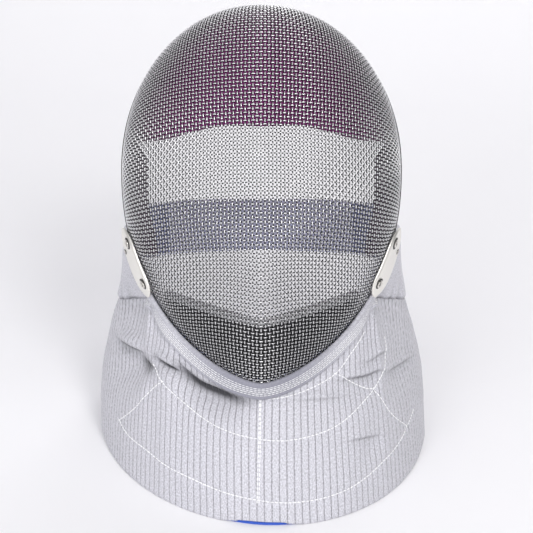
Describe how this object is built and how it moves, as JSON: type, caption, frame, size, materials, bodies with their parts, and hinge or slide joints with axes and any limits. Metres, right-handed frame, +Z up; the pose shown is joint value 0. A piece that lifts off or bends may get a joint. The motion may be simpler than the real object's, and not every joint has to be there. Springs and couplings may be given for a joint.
{
  "type": "sabre fencing mask",
  "caption": "Woven wire face dome on a rim, with a padded cloth bib that flares to its hem, ear flaps, side plates, inner pads and a back strap.",
  "frame": {"origin": "centre of the bounding box at the level of the hem, which stands on z = 0", "axes": "+Z up, -Y towards the front of the face, +X towards the wearer's left"},
  "size_m": [0.252, 0.2444, 0.3252],
  "materials": {
    "wire_mesh": "bright steel wire, woven",
    "plate_metal": "satin nickel plate",
    "lame_cloth": "grey ribbed conductive cloth",
    "lining_cloth": "blue lining cloth",
    "plum_padding": "plum brushed cloth over foam",
    "black_padding": "black cloth over foam",
    "binding_cloth": "light grey woven binding",
    "strap_webbing": "grey-blue elastic webbing"
  },
  "bodies": {
    "root": {"front_mesh": "wire_mesh", "rear_mesh": "wire_mesh", "rim_wire": "wire_mesh", "rear_edging": "binding_cloth", "side_plate_left": "plate_metal", "side_plate_right": "plate_metal", "rivet_left_top": "plate_metal", "rivet_left_bottom": "plate_metal", "rivet_left_small": "plate_metal", "rivet_right_top": "plate_metal", "rivet_right_bottom": "plate_metal", "rivet_right_small": "plate_metal", "ear_flap_left": "lame_cloth", "ear_flap_right": "lame_cloth", "bib": "lame_cloth", "chin_trim": "lame_cloth", "bib_lining": "lining_cloth", "crown_pad": "plum_padding", "cheek_pad_left": "plum_padding", "cheek_pad_right": "plum_padding", "chin_pad": "black_padding", "chin_pad_binding": "binding_cloth", "back_strap": "strap_webbing"}
  },
  "joints": []
}
